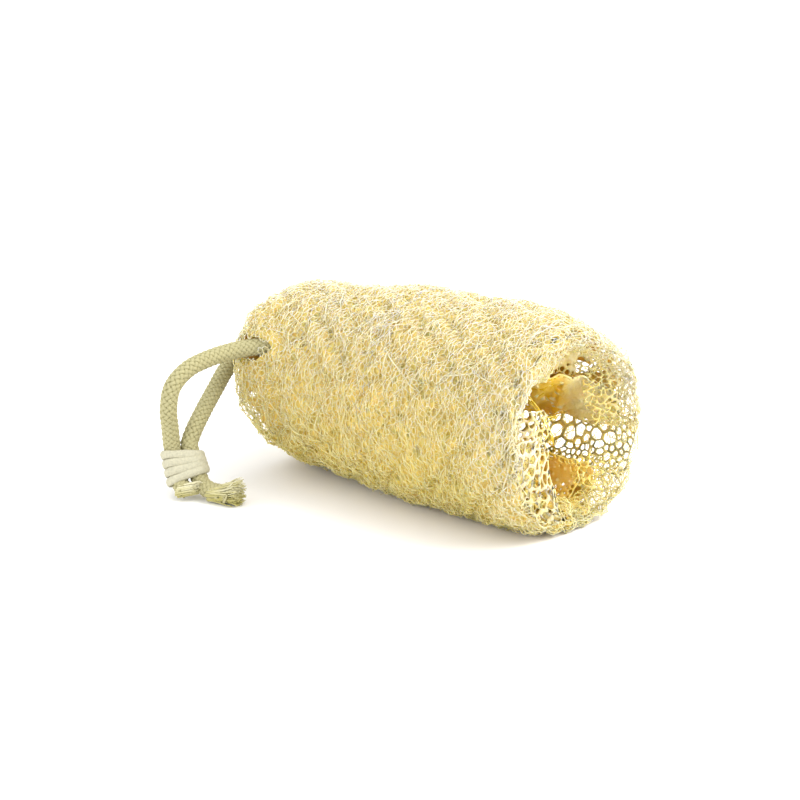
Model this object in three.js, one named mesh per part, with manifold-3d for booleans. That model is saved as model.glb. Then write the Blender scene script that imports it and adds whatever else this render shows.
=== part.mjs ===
// A natural loofah sponge with a loop of braided cord bound at its foot.
// Millimetres, +Z up, the sponge lies along X with its open mouth at +X.
import * as THREE from "three";
import { mergeVertices } from "three/addons/utils/BufferGeometryUtils.js";
import Module from "manifold-3d";

const wasm = await Module();
wasm.setup();

// Sponge: outline from the left end face, over both rims, to the mouth (x, radius)
const outlinePoints = [
  [-59.5, 21], [-62.4, 25.5], [-63, 28.4], [-61, 31], [-56, 32.3], [-46, 32.8], [-32, 33.6],
  [-17, 34.9], [-3, 35.6], [11, 35.8], [25, 36.4], [39, 36.9], [50, 36.9], [57.5, 36.2], [62, 34.7],
  [63, 32.8], [61.5, 30.6], [58.5, 28.6], [54.5, 27],
];
const endX = 63;                // both ends lie this far from the middle
const axisHeight = 34.3;        // its centre line above the floor
const lumpSize = 0.014;         // slow swelling of the skin, share of the radius
const swellings = [             // x, angle in degrees, reach along, reach round, height
  [-62, 145, 16, 34, 3.2], [-60, 72, 24, 40, -2.8], [-36, 70, 16, 40, -0.9], [31, 70, 12, 30, 1.3],
  [63, 58, 13, 34, -4.2],
];
const lips = [                  // where the rim of the mouth turns in: angle, reach, inwards, forwards
  [138, 46, 7.5, 0], [225, 38, 9, 4.5], [20, 40, -1, 0],
];

// Raised net: cells long round the sponge and short along it
const cellsRound = 19;
const cellsAlong = 19;
const cellScatter = 0.34;
const pitDepth = 2.3;
const strandShare = 0.3;        // how far a strand reaches in towards the middle of its cell
const crestScatter = 0.45;      // strands lie a little above and below each other

// Seed chambers, mouth and holes
const chamberTurns = [0.03, 1 / 3, 0.765];   // round the centre line, from +Y up over the top
const chamberCentre = 16.5;     // from the centre line
const chamberAcross = 11;       // half sizes
const chamberDeep = 9.5;
const chamberEnd = 56;          // the chambers open here, behind the lip of the mouth
const mouthFloor = 51;          // where the mouth is deepest
const footDepth = 5;            // bowl cut into the other end
const footRadius = 24;
const holeCount = 11;           // see-through gaps in the thin far wall by the mouth
const holeRadius = 2;
const holeAngle = -17;          // degrees round the centre line
const webAngles = [2, 50];      // fused sheet left standing across the far chamber
const webRadii = [4, 28];
const webPlaces = [50.5, 51.5, 54.5];
const webDip = 5;
const webThick = 1.2;           // half its thickness

// Cord and binding
const cordRadius = 3;
const gap = 0.35;               // air between pieces that touch
const strandSpacing = 6.6;      // between the two strands in the binding
const bandThick = 0.8;          // half sizes of the flattened twine
const bandWide = 1.3;
const bandPitch = 2.68;
const bandTurns = 3.6;
const bandTilt = 0.19;          // the turns lie aslant
const bindingTop = new THREE.Vector3(-61.6, -57.5, 17);
const bindingRun = new THREE.Vector3(0.4, -0.12, -0.91).normalize();
const bindingSide = new THREE.Vector3(0.757, 0.653, 0);
bindingSide.addScaledVector(bindingRun, -bindingSide.dot(bindingRun)).normalize();

function seededRandom(seed) {
  let state = seed;
  return () => {
    state = (state * 1664525 + 1013904223) % 4294967296;
    return state / 4294967296;
  };
}

function asManifold(geometry) {
  const bare = geometry.clone();
  bare.deleteAttribute("normal");
  bare.deleteAttribute("uv");
  const welded = mergeVertices(bare, 1e-4);
  return new wasm.Manifold(new wasm.Mesh({
    numProp: 3,
    vertProperties: new Float32Array(welded.attributes.position.array),
    triVerts: new Uint32Array(welded.index.array),
  }));
}

function asGeometry(solid) {
  const mesh = solid.getMesh();
  const geometry = new THREE.BufferGeometry();
  geometry.setAttribute("position", new THREE.BufferAttribute(mesh.vertProperties, 3));
  geometry.setIndex(new THREE.BufferAttribute(mesh.triVerts, 1));
  const flat = geometry.toNonIndexed();
  flat.computeVertexNormals();
  return flat;
}

const outline = new THREE.CatmullRomCurve3(outlinePoints.map(([x, r]) => new THREE.Vector3(x, r, 0)));

const lipFrom = Array.from({ length: 401 }, (_, i) => i / 400)
  .reduce((best, share) => (outline.getPointAt(share).x > outline.getPointAt(best).x ? share : best), 0);

// How much of a soft spot is felt at an angle and a distance from its middle
function softSpot(angle, degrees, reach, off = 0) {
  const turned = THREE.MathUtils.euclideanModulo(THREE.MathUtils.radToDeg(angle) - degrees + 180, 360) - 180;
  return Math.exp(-((turned / reach) ** 2) - off ** 2);
}

function swell(x, angle) {
  return swellings.reduce((sum, [atX, degrees, along, round, height]) => (
    sum + height * softSpot(angle, degrees, round, (x - atX) / along)), 0);
}

function lump(x, angle) {
  return 1
    + lumpSize * Math.sin(0.105 * x + 1.2 + Math.cos(angle))
    + lumpSize * 0.8 * Math.sin(2 * angle + 0.03 * x + 0.4);
}

// A point of the skin: share of the way from rim to rim, angle round it, depth below the crests
function skinPoint(share, angle, depth) {
  const at = outline.getPointAt(share);
  const run = outline.getTangentAt(share);
  const pressed = THREE.MathUtils.smoothstep(-Math.sin(angle), 0.94, 0.985);
  const sunk = depth * (1 - 0.85 * pressed);
  const inner = THREE.MathUtils.smoothstep(share, lipFrom - 0.01, 1);
  let radius = at.y * lump(at.x, angle) + swell(at.x, angle) - sunk * run.x;
  let x = at.x + sunk * run.y;
  for (const [degrees, reach, inwards, forwards] of lips) {
    radius -= inner * inwards * softSpot(angle, degrees, reach);
    x += inner * forwards * softSpot(angle, degrees, reach);
  }
  return new THREE.Vector3(x, radius * Math.cos(angle), axisHeight + radius * Math.sin(angle));
}

// Keep the side of a polygon that is nearer to its own seed than to another one
function clipCell(polygon, seed, other) {
  const middle = seed.clone().add(other).multiplyScalar(0.5);
  const away = other.clone().sub(seed);
  const side = (p) => p.clone().sub(middle).dot(away);
  const kept = [];
  polygon.forEach((p, i) => {
    const next = polygon[(i + 1) % polygon.length];
    const here = side(p);
    const there = side(next);
    if (here <= 0) kept.push(p);
    if (here * there < 0) kept.push(p.clone().lerp(next, here / (here - there)));
  });
  return kept;
}

// Every seed with its copies past the seam and its mirror images past both rims
function seedsWithCopies(seeds) {
  const copies = [];
  for (const seed of seeds) {
    for (const turn of [-cellsRound, 0, cellsRound]) {
      copies.push(new THREE.Vector2(seed.x + turn, seed.y));
      copies.push(new THREE.Vector2(seed.x + turn, -seed.y));
      copies.push(new THREE.Vector2(seed.x + turn, 2 * cellsAlong - seed.y));
    }
  }
  return copies;
}

function cellsOf(seeds) {
  const copies = seedsWithCopies(seeds);
  return seeds.map((seed) => {
    let polygon = [[-3, -3], [3, -3], [3, 3], [-3, 3]]
      .map(([u, v]) => new THREE.Vector2(seed.x + u, seed.y + v));
    for (const other of copies) {
      const far = other.distanceTo(seed);
      if (far > 1e-9 && far < 3.5) polygon = clipCell(polygon, seed, other);
    }
    return polygon;
  });
}

function middleOf(polygon) {
  const sum = new THREE.Vector2();
  polygon.forEach((p) => sum.add(p));
  return sum.divideScalar(polygon.length);
}

// The net: scattered seeds, one cell each, evened out once so that no strand is too short
function netCells() {
  const random = seededRandom(41);
  const seeds = [];
  for (let row = 0; row < cellsAlong; row++) {
    for (let column = 0; column < cellsRound; column++) {
      const u = column + 0.5 * (row % 2) + cellScatter * (2 * random() - 1);
      const v = row + 0.5 + cellScatter * (2 * random() - 1);
      seeds.push(new THREE.Vector2(u, v));
    }
  }
  return cellsOf(cellsOf(seeds).map(middleOf));
}

function netBody() {
  const random = seededRandom(7);
  const corners = [];
  const faces = [];
  const shared = new Map();
  const place = (p, depth) => {
    const share = THREE.MathUtils.clamp(p.y / cellsAlong, 0, 1);
    corners.push(skinPoint(share, (2 * Math.PI * p.x) / cellsRound, depth));
    return corners.length - 1;
  };
  const crest = (p) => {
    const turn = Math.round(p.x * 1e5) % (cellsRound * 1e5);
    const key = `${turn < 0 ? turn + cellsRound * 1e5 : turn} ${Math.round(p.y * 1e5)}`;
    if (!shared.has(key)) shared.set(key, place(p, crestScatter * random()));
    return shared.get(key);
  };
  corners.push(new THREE.Vector3(-59, 0, axisHeight), new THREE.Vector3(mouthFloor, 0, axisHeight));
  for (const cell of netCells()) {
    const middle = middleOf(cell);
    const deep = pitDepth * (0.75 + 0.5 * random());
    const rim = cell.map(crest);
    const foot = cell.map((p) => place(p.clone().lerp(middle, strandShare), deep));
    const floor = place(middle, deep + 0.4);
    cell.forEach((p, i) => {
      const j = (i + 1) % cell.length;
      if (rim[i] === rim[j]) return;
      faces.push([rim[i], rim[j], foot[j]], [rim[i], foot[j], foot[i]], [foot[i], foot[j], floor]);
      const next = cell[j];
      if (p.y < 1e-6 && next.y < 1e-6) faces.push([0, rim[j], rim[i]]);
      if (p.y > cellsAlong - 1e-6 && next.y > cellsAlong - 1e-6) faces.push([1, rim[j], rim[i]]);
    });
  }
  const geometry = new THREE.BufferGeometry();
  geometry.setFromPoints(corners);
  geometry.setIndex(faces.flat());
  return asManifold(geometry);
}

// A seed chamber: an oval tunnel along the sponge that wanders a little
function chamber(turns) {
  const angle = 2 * Math.PI * turns;
  const tunnel = new THREE.CylinderGeometry(1, 1, endX + 2 + chamberEnd, 18, 8).rotateZ(-Math.PI / 2);
  tunnel.translate((chamberEnd - endX - 2) / 2, 0, 0);
  const position = tunnel.attributes.position;
  for (let i = 0; i < position.count; i++) {
    const x = position.getX(i);
    const swell = 1 + 0.05 * Math.sin(0.09 * x + 9 * turns);
    const out = chamberCentre + chamberDeep * swell * position.getY(i);
    const across = chamberAcross * swell * position.getZ(i);
    const y = out * Math.cos(angle) - across * Math.sin(angle);
    const z = out * Math.sin(angle) + across * Math.cos(angle);
    position.setXYZ(i, x, y, axisHeight + z);
  }
  return asManifold(tunnel);
}

// A bowl cut into the end with the cord, from its rim to its depth
function bowl(rimX, rimRadius, depth) {
  const profile = [[0, -0.5], [1, -0.5], [1, 0], [0.95, 0.25], [0.78, 0.62], [0.45, 0.93], [0, 1]];
  const points = profile.map(([across, down]) => new THREE.Vector2(across * rimRadius, down * depth));
  const shape = new THREE.LatheGeometry(points, 30).rotateZ(-Math.PI / 2);
  return asManifold(shape.translate(rimX, 0, axisHeight));
}

function tube(points, radius, sides, steps) {
  const section = new THREE.Shape();
  for (let i = 0; i < sides; i++) {
    const angle = (2 * Math.PI * i) / sides;
    if (i === 0) section.moveTo(radius, 0);
    else section.lineTo(radius * Math.cos(angle), radius * Math.sin(angle));
  }
  const path = new THREE.CatmullRomCurve3(points);
  const geometry = new THREE.ExtrudeGeometry(section, { steps, extrudePath: path, curveSegments: 1 });
  geometry.deleteAttribute("normal");
  geometry.deleteAttribute("uv");
  const smooth = mergeVertices(geometry, 1e-4);
  smooth.computeVertexNormals();
  return smooth;
}

// See-through gaps between the strands of the thin far wall by the mouth
function mouthHoles() {
  const random = seededRandom(23);
  const holes = [];
  for (let i = 0; i < holeCount; i++) {
    const angle = THREE.MathUtils.degToRad(holeAngle + (i % 2 ? 6 : -6) + 4 * random());
    const hole = new THREE.CylinderGeometry(holeRadius, 0.8 * holeRadius, 16, 6);
    hole.scale(1.2, 1, 0.9);
    hole.translate(14 + 4 * i, 33, 0);
    hole.rotateX(angle);
    hole.translate(0, 0, axisHeight);
    holes.push(asManifold(hole));
  }
  return holes;
}

// The sheet across the far chamber, bowed inwards
function web() {
  const steps = 6;
  const corners = [];
  const faces = [];
  const number = (side, i, k) => (side * (steps + 1) + i) * (steps + 1) + k;
  for (const side of [-1, 1]) {
    for (let i = 0; i <= steps; i++) {
      const angle = THREE.MathUtils.degToRad(THREE.MathUtils.lerp(...webAngles, i / steps));
      for (let k = 0; k <= steps; k++) {
        const radius = THREE.MathUtils.lerp(...webRadii, k / steps);
        const [from, middle, to] = webPlaces;
        const out = k / steps;
        const place = out < 0.5 ? THREE.MathUtils.lerp(from, middle, 2 * out)
          : THREE.MathUtils.lerp(middle, to, 2 * out - 1);
        const x = place - webDip * Math.sin((Math.PI * i) / steps) + side * webThick;
        corners.push(new THREE.Vector3(x, radius * Math.cos(angle), axisHeight + radius * Math.sin(angle)));
      }
    }
  }
  for (let i = 0; i < steps; i++) {
    for (let k = 0; k < steps; k++) {
      const [a, b, c, d] = [[i, k], [i, k + 1], [i + 1, k + 1], [i + 1, k]].map(([m, n]) => number(1, m, n));
      const under = (corner) => corner - (steps + 1) ** 2;
      faces.push([a, b, c], [a, c, d], [under(a), under(c), under(b)], [under(a), under(d), under(c)]);
      if (i === 0) faces.push([under(a), under(b), b], [under(a), b, a]);
      if (i === steps - 1) faces.push([under(c), under(d), d], [under(c), d, c]);
      if (k === 0) faces.push([under(d), under(a), a], [under(d), a, d]);
      if (k === steps - 1) faces.push([under(b), under(c), c], [under(b), c, b]);
    }
  }
  const geometry = new THREE.BufferGeometry();
  geometry.setFromPoints(corners);
  geometry.setIndex(faces.flat());
  return asManifold(geometry);
}

// The cord: tail, binding, up and over into the skin, round in the upper chamber, out and down again
function inBinding(down, side) {
  return bindingTop.clone().addScaledVector(bindingRun, down).addScaledVector(bindingSide, side);
}
const half = strandSpacing / 2;
const vectors = (list) => list.map((p) => new THREE.Vector3(...p));
const strandUp = vectors([
  [-63.7, -60.6, 23], [-62.5, -62.2, 30], [-61.6, -61.3, 37.5],
  [-61, -58.4, 41], [-60.5, -53.7, 43.6], [-60, -47, 45],
]);
const turnInside = vectors([
  [-58.8, -39.5, 46], [-56, -32.5, 46.8], [-50.3, -26.5, 47.4], [-43, -20.5, 46.3], [-36, -16.8, 45.1],
  [-26, -16.3, 44.7], [-19.6, -13.9, 45.6], [-17, -8, 48], [-19.6, -2.1, 50.4], [-26, 0.3, 51.3],
  [-36, -0.3, 51], [-46, -1.2, 50.2], [-55, -2.6, 48.8], [-62, -5, 46.5], [-67.8, -10.5, 43],
]);
const strandDown = vectors([
  [-71, -18, 39.8], [-70.8, -25.8, 36.4], [-66.6, -36.6, 31.2], [-62.6, -47, 25], [-60, -53, 20.5],
]);
const shortTail = vectors([[-54.5, -62.7, 3.7], [-56.6, -62.4, 4.3]]);
const longTail = vectors([[-51.8, -57.4, 4.8], [-47.6, -57, 3.5], [-43, -56, 3.4], [-38.5, -54.9, 3.4]]);
const cordPath = [
  ...shortTail,
  inBinding(10.2, -half), inBinding(5, -half), inBinding(0, -half),
  ...strandUp, ...turnInside, ...strandDown,
  inBinding(0.5, half), inBinding(5, half), inBinding(10, half),
  ...longTail,
];

// The twine runs round both strands like a track with two straights: where it is and which way is out
function trackPoint(turns) {
  const reach = cordRadius + gap + bandThick;
  const bend = Math.PI * reach;
  const run = (turns % 1) * 2 * (strandSpacing + bend);
  const back = run >= strandSpacing + bend;
  const onward = back ? run - strandSpacing - bend : run;
  const angle = onward < strandSpacing ? Math.PI / 2 : Math.PI / 2 + (onward - strandSpacing) / reach;
  const centre = onward < strandSpacing ? half - onward : -half;
  const flip = back ? -1 : 1;
  const out = new THREE.Vector2(flip * Math.cos(angle), flip * Math.sin(angle));
  return { out, at: new THREE.Vector2(flip * centre, 0).addScaledVector(out, reach) };
}

function bindingGeometry() {
  const sides = 8;
  const count = Math.round(bandTurns * 16);
  const across = bindingRun.clone().cross(bindingSide);
  const corners = [];
  const faces = [];
  for (let i = 0; i <= count; i++) {
    const turns = (bandTurns * i) / count;
    const { at, out } = trackPoint(turns);
    for (let k = 0; k < sides; k++) {
      const angle = (2 * Math.PI * k) / sides;
      const off = at.clone().addScaledVector(out, bandThick * Math.cos(angle));
      const down = 0.9 + bandPitch * turns + bandTilt * off.x + bandWide * Math.sin(angle);
      corners.push(inBinding(down, off.x).addScaledVector(across, off.y));
      const a = i * sides + k;
      const b = i * sides + ((k + 1) % sides);
      if (i < count) faces.push([a, b + sides, b], [a, a + sides, b + sides]);
    }
  }
  const last = count * sides;
  for (let k = 1; k < sides - 1; k++) faces.push([0, k, k + 1], [last, last + k + 1, last + k]);
  const geometry = new THREE.BufferGeometry();
  geometry.setFromPoints(corners);
  geometry.setIndex(faces.flat());
  geometry.computeVertexNormals();
  return geometry;
}

function spongeGeometry() {
  const net = netBody();
  const { min, max } = net.boundingBox();
  let solid = net.translate([-(min[0] + max[0]) / 2, -(min[1] + max[1]) / 2, 0]);
  const floorBlock = new THREE.BoxGeometry(3 * endX, 3 * endX, 20).translate(0, 0, -10);
  const cutters = [
    ...chamberTurns.map(chamber),
    bowl(-endX, footRadius, footDepth),
    ...mouthHoles(),
    asManifold(tube(turnInside, cordRadius + gap, 8, 40)),
    asManifold(floorBlock),
  ];
  for (const cutter of cutters) solid = solid.subtract(cutter);
  return asGeometry(solid.add(web()));
}

const strawMaterial = new THREE.MeshStandardMaterial({ color: "#dcc58f", roughness: 0.85, metalness: 0 });
const cordMaterial = new THREE.MeshStandardMaterial({ color: "#d9d5b4", roughness: 0.9, metalness: 0 });
const twineMaterial = new THREE.MeshStandardMaterial({ color: "#e9e2c8", roughness: 0.9, metalness: 0 });

function piece(name, geometry, material) {
  const mesh = new THREE.Mesh(geometry, material);
  mesh.name = name;
  return mesh;
}

const loofah = new THREE.Group();
loofah.add(piece("sponge", spongeGeometry(), strawMaterial));
loofah.add(piece("cord", tube(cordPath, cordRadius, 8, 76), cordMaterial));
loofah.add(piece("binding", bindingGeometry(), twineMaterial));

export default loofah;
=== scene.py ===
import bpy
import math
import numpy as np
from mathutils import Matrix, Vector, geometry


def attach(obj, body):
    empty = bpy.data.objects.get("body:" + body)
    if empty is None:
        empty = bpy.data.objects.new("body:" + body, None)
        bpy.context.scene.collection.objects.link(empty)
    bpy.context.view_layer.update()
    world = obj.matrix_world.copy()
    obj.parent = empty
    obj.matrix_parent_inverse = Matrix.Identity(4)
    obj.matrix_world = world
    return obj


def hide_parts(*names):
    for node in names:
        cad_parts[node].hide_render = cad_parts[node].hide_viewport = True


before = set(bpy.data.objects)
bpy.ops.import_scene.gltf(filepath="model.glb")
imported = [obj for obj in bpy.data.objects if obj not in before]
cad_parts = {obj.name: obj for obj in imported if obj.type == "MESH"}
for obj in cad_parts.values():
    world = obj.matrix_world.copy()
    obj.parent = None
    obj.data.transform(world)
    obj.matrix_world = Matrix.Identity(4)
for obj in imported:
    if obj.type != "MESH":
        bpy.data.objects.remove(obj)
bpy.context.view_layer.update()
mm = 0.001
print("frame loaded:", sorted(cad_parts))


# Shared helpers

def clearSelection():
    bpy.ops.object.select_all(action="DESELECT")


def smoothLine(points, stepsPerSpan):  # one smooth line through given points
    p = np.array(points, float)
    p = np.vstack([2 * p[0] - p[1], p, 2 * p[-1] - p[-2]])
    line = []
    for i in range(1, len(p) - 2):
        a, b, c, d = p[i - 1:i + 3]
        t0 = 0.0
        t1 = t0 + np.linalg.norm(b - a) ** 0.5
        t2 = t1 + np.linalg.norm(c - b) ** 0.5
        t3 = t2 + np.linalg.norm(d - c) ** 0.5
        for t in np.linspace(t1, t2, stepsPerSpan, endpoint=False):
            ab = a + (b - a) * (t - t0) / (t1 - t0)
            bc = b + (c - b) * (t - t1) / (t2 - t1)
            cd = c + (d - c) * (t - t2) / (t3 - t2)
            abc = ab + (bc - ab) * (t - t0) / (t2 - t0)
            bcd = bc + (cd - bc) * (t - t1) / (t3 - t1)
            line.append(abc + (bcd - abc) * (t - t1) / (t2 - t1))
    line.append(p[-2])
    return np.array(line)


def evenLine(line, count):  # the same line with its points spread evenly
    run = np.concatenate([[0], np.cumsum(np.linalg.norm(np.diff(line, axis=0), axis=1))])
    at = np.linspace(0, run[-1], count)
    return np.stack([np.interp(at, run, line[:, k]) for k in range(line.shape[1])], 1)


def lineLength(line):
    return float(np.linalg.norm(np.diff(line, axis=0), axis=1).sum())


def smoothStep(low, high, value):
    t = np.clip((value - low) / (high - low), 0, 1)
    return t * t * (3 - 2 * t)


def meshPiece(name, corners, faces):
    mesh = bpy.data.meshes.new(name)
    mesh.from_pydata(np.asarray(corners).tolist(), [], [list(f) for f in faces])
    mesh.update()
    piece = bpy.data.objects.new(name, mesh)
    bpy.context.collection.objects.link(piece)
    return piece


def applyModifier(piece, kind, **settings):
    clearSelection()
    piece.select_set(True)
    bpy.context.view_layer.objects.active = piece
    modifier = piece.modifiers.new(kind.title(), kind)
    for key, value in settings.items():
        setattr(modifier, key, value)
    bpy.ops.object.modifier_apply(modifier=modifier.name)


def shadeSmooth(piece):
    piece.data.polygons.foreach_set("use_smooth", np.ones(len(piece.data.polygons), bool))


def mark(piece, name, values):  # one number for each corner, for the material to read
    if name not in piece.data.attributes:
        piece.data.attributes.new(name, "FLOAT", "POINT")
    piece.data.attributes[name].data.foreach_set("value", np.asarray(values, np.float32))


def cornersOf(piece):
    flat = np.empty(len(piece.data.vertices) * 3)
    piece.data.vertices.foreach_get("co", flat)
    return flat.reshape(-1, 3)


# Skin of the sponge: the same outline, lumps and centre line as the solid
skin = {
    "outline": [(-59.5, 21), (-62.4, 25.5), (-63, 28.4), (-61, 31), (-56, 32.3), (-46, 32.8), (-32, 33.6),
                (-17, 34.9), (-3, 35.6), (11, 35.8), (25, 36.4), (39, 36.9), (50, 36.9), (57.5, 36.2),
                (62, 34.7), (63, 32.8), (61.5, 30.6), (58.5, 28.6), (54.5, 27)],
    "axisHeight": 34.3,
    "lump": 0.014,
    "endX": 63.0,
    # x, angle, reach along, reach round in degrees, height
    "swellings": [(-62, 145, 16, 34, 3.2), (-60, 72, 24, 40, -2.8), (-36, 70, 16, 40, -0.9),
                  (31, 70, 12, 30, 1.3), (63, 58, 13, 34, -4.2), (-61, 112, 9, 22, -2.6),
                  (63, 262, 12, 26, -2.0), (60, -35, 14, 26, 1.6), (-62, -122, 9, 20, -2.8)],
    # angle, reach round in degrees, inwards, forwards
    "lips": [(117, 17, 8.5, 0), (160, 20, 2.5, 0), (222, 36, 9, 4.5), (20, 40, -1, 0)],
    "meanRadius": 35.5,
    "floor": 0.15,
}
outlineLine = evenLine(smoothLine(skin["outline"], 24), 400)
outlineRun = np.gradient(outlineLine, axis=0)
outlineRun /= np.linalg.norm(outlineRun, axis=1)[:, None]
outlineShare = np.linspace(0, 1, len(outlineLine))
outlineLength = lineLength(outlineLine)
sideFrom = int(np.argmin(outlineLine[:, 0]))
sideTo = int(np.argmax(outlineLine[:, 0]))
lipFrom = outlineShare[sideTo]


def angleOff(angle, degrees):  # distance from an angle, in degrees
    return np.abs((np.degrees(angle) - degrees + 180) % 360 - 180)


def softSpot(off, reach):
    return np.exp(-(off / reach) ** 2)


def lumpAt(x, angle):  # the same slow waves as the solid
    slow = np.sin(0.105 * x + 1.2 + np.cos(angle))
    oval = np.sin(2 * angle + 0.03 * x + 0.4)
    return 1 + skin["lump"] * (slow + 0.8 * oval)


def swellAt(x, angle):
    total = np.zeros(np.broadcast(x, angle).shape)
    for atX, atAngle, reachX, reachAngle, height in skin["swellings"]:
        total = total + height * softSpot(x - atX, reachX) * softSpot(angleOff(angle, atAngle), reachAngle)
    return total


def lipAt(share, angle):  # how far the lip of the mouth turns inwards and stands forwards
    inner = smoothStep(lipFrom - 0.01, 1, share)
    spots = [(softSpot(angleOff(angle, at), reach), i, f) for at, reach, i, f in skin["lips"]]
    return inner * sum(spot * i for spot, i, _ in spots), inner * sum(spot * f for spot, _, f in spots)


def skinPoint(share, angle, depth):  # millimetres; depth below the skin, negative is outside
    x = np.interp(share, outlineShare, outlineLine[:, 0])
    r = np.interp(share, outlineShare, outlineLine[:, 1])
    runX = np.interp(share, outlineShare, outlineRun[:, 0])
    runR = np.interp(share, outlineShare, outlineRun[:, 1])
    inwards, forwards = lipAt(share, angle)
    radius = r * lumpAt(x, angle) + swellAt(x, angle) - inwards - depth * runX
    height = np.maximum(skin["axisHeight"] + radius * np.sin(angle), skin["floor"])
    return np.stack([x + depth * runR + forwards, radius * np.cos(angle), height], -1)


def skinRadius(x, angle):
    side = outlineLine[sideFrom:sideTo + 1]
    return np.interp(x, side[:, 0], side[:, 1]) * lumpAt(x, angle) + swellAt(x, angle)


def turnOf(points):  # angle round the centre line and distance from it, in millimetres
    y = points[:, 1]
    z = points[:, 2] - skin["axisHeight"]
    return np.arctan2(z, y), np.hypot(y, z)


def flatSpot(off, flat, fade):  # one up to the first distance, nothing past the second
    return 1 - smoothStep(flat, fade, off)


# Where the wall is thin: end, start and full thinness along it, angle, flat and fading reach, share missing
thinPlaces = [
    (1, 46, 56, -48, 16, 30, 0.8), (1, 56, 62, 0, 180, 181, 0.08), (1, 47, 55, 32, 38, 62, 0.6),
    (-1, 46, 56, -143, 16, 40, 0.7), (-1, 57, 62, 0, 180, 181, 0.25),
]


def openness(points):
    angle, _ = turnOf(points)
    missing = np.zeros(len(points))
    for end, start, full, at, flat, fade, share in thinPlaces:
        along = smoothStep(start, full, end * points[:, 0])
        missing = np.maximum(missing, share * along * flatSpot(angleOff(angle, at), flat, fade))
    return missing


# The thin part of the far wall, which lets light into the mouth
lightBand = {"x": 35.0, "long": 29.0, "angle": -22.0, "reach": 15.0, "corners": 2.6}
lightLine = np.array([-0.626, 0.725, -0.286])  # the hollow runs this way from the mouth to the far wall
glints = [(37, 16, 3.4, 6.0), (45, 20, 3.0, 6.0), (39, -57, 5.0, 6.0)]  # smaller gaps: x, angle, reaches


def inBand(x, angle, grow=0.0):
    along = np.abs(x - lightBand["x"]) / (lightBand["long"] + grow)
    across = angleOff(angle, lightBand["angle"]) / (lightBand["reach"] + grow)
    return along ** lightBand["corners"] + across ** lightBand["corners"] < 1


def inGlint(x, angle):
    hit = np.zeros(len(x), bool)
    for atX, atAngle, reachX, reachAngle in glints:
        hit |= (np.abs(x - atX) / reachX) ** 2 + (angleOff(angle, atAngle) / reachAngle) ** 2 < 1
    return hit


def wallBehind(points):  # where a line from the mouth through the points meets the far wall
    y = points[:, 1]
    z = points[:, 2] - skin["axisHeight"]
    a = lightLine[1] ** 2 + lightLine[2] ** 2
    b = y * lightLine[1] + z * lightLine[2]
    c = np.minimum(y ** 2 + z ** 2 - skin["meanRadius"] ** 2, 0)
    onward = (-b + np.sqrt(b ** 2 - a * c)) / a
    end = points + lightLine * onward[:, None]
    return end[:, 0], turnOf(end)[0]


nearWall = {"angle": 200, "reach": 110, "inside": 21}


def inHollow(points):  # points between the mouth and the thin part of the far wall
    angle, radius = turnOf(points)
    onNearWall = (angleOff(angle, nearWall["angle"]) < nearWall["reach"]) & (radius > nearWall["inside"])
    return inBand(*wallBehind(points)) & ~onNearWall


# Route of the cord: the same points as the solid
binding = {
    "top": (-61.6, -57.5, 17.0), "run": (0.4, -0.12, -0.91), "side": (0.757, 0.653, 0.0), "spacing": 6.6,
    "thick": 0.72, "wide": 1.4, "pitch": 2.4, "turns": (0.5, 4.45), "start": 1.9, "gap": 0.1,
    "tilt": (0.32, -0.1), "squeeze": 1.3, "squeezeDown": 12, "squeezeWide": 14, "wobble": 0.12,
    "threads": 10, "threadDepth": 0.05, "steps": 260, "sides": 30,
}
bindingRun = np.array(binding["run"]) / np.linalg.norm(binding["run"])
bindingSide = np.array(binding["side"]) - bindingRun * np.dot(binding["side"], bindingRun)
bindingSide /= np.linalg.norm(bindingSide)
bindingAcross = np.cross(bindingRun, bindingSide)
half = binding["spacing"] / 2


def inBinding(down, side, front=0.0):
    return tuple(np.array(binding["top"]) + bindingRun * down + bindingSide * side + bindingAcross * front)


cordRoute = [
    (-54.5, -62.7, 3.7), (-56.6, -62.4, 4.3),  # short tail
    inBinding(10.2, -half), inBinding(5, -half), inBinding(0, -half),
    (-63.7, -60.6, 23), (-62.5, -62.2, 30), (-61.6, -61.3, 37.5), (-61, -58.4, 41), (-60.5, -53.7, 43.6),
    (-60, -47, 45), (-58.8, -39.5, 46), (-56, -32.5, 46.8), (-50.3, -26.5, 47.4), (-43, -20.5, 46.3),
    (-36, -16.8, 45.1), (-26, -16.3, 44.7), (-19.6, -13.9, 45.6), (-17, -8, 48), (-19.6, -2.1, 50.4),
    (-26, 0.3, 51.3), (-36, -0.3, 51), (-46, -1.2, 50.2), (-55, -2.6, 48.8), (-62, -5, 46.5),
    (-67.8, -10.5, 43), (-71, -18, 39.8), (-70.8, -25.8, 36.4), (-66.6, -36.6, 31.2), (-62.8, -47, 25),
    (-61.2, -52.6, 20.2),
    inBinding(0.5, half - 0.9, -1.4), inBinding(5, half - 0.4, -0.5), inBinding(10, half),
    (-51.8, -57.4, 4.8), (-47.6, -57, 3.5), (-43, -56, 3.4), (-38.5, -54.9, 3.4),  # long tail
]
cordStep = 0.42
cordEntry = {"place": np.array([-47.5, -24.6, 48.5]), "clear": 5.4}  # where it dips into the wall
cordLine = smoothLine(cordRoute, 20)
cordLength = lineLength(cordLine)
cordLine = evenLine(cordLine, round(cordLength / cordStep))


def nearCord(points, reach):  # the sponge leaves room for the cord
    near = np.zeros(len(points), bool)
    for place in cordLine[::4]:
        near |= ((points - place) ** 2).sum(1) < reach ** 2
    return near


# Fibre nets: cells between scattered seeds, turned into strands

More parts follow.
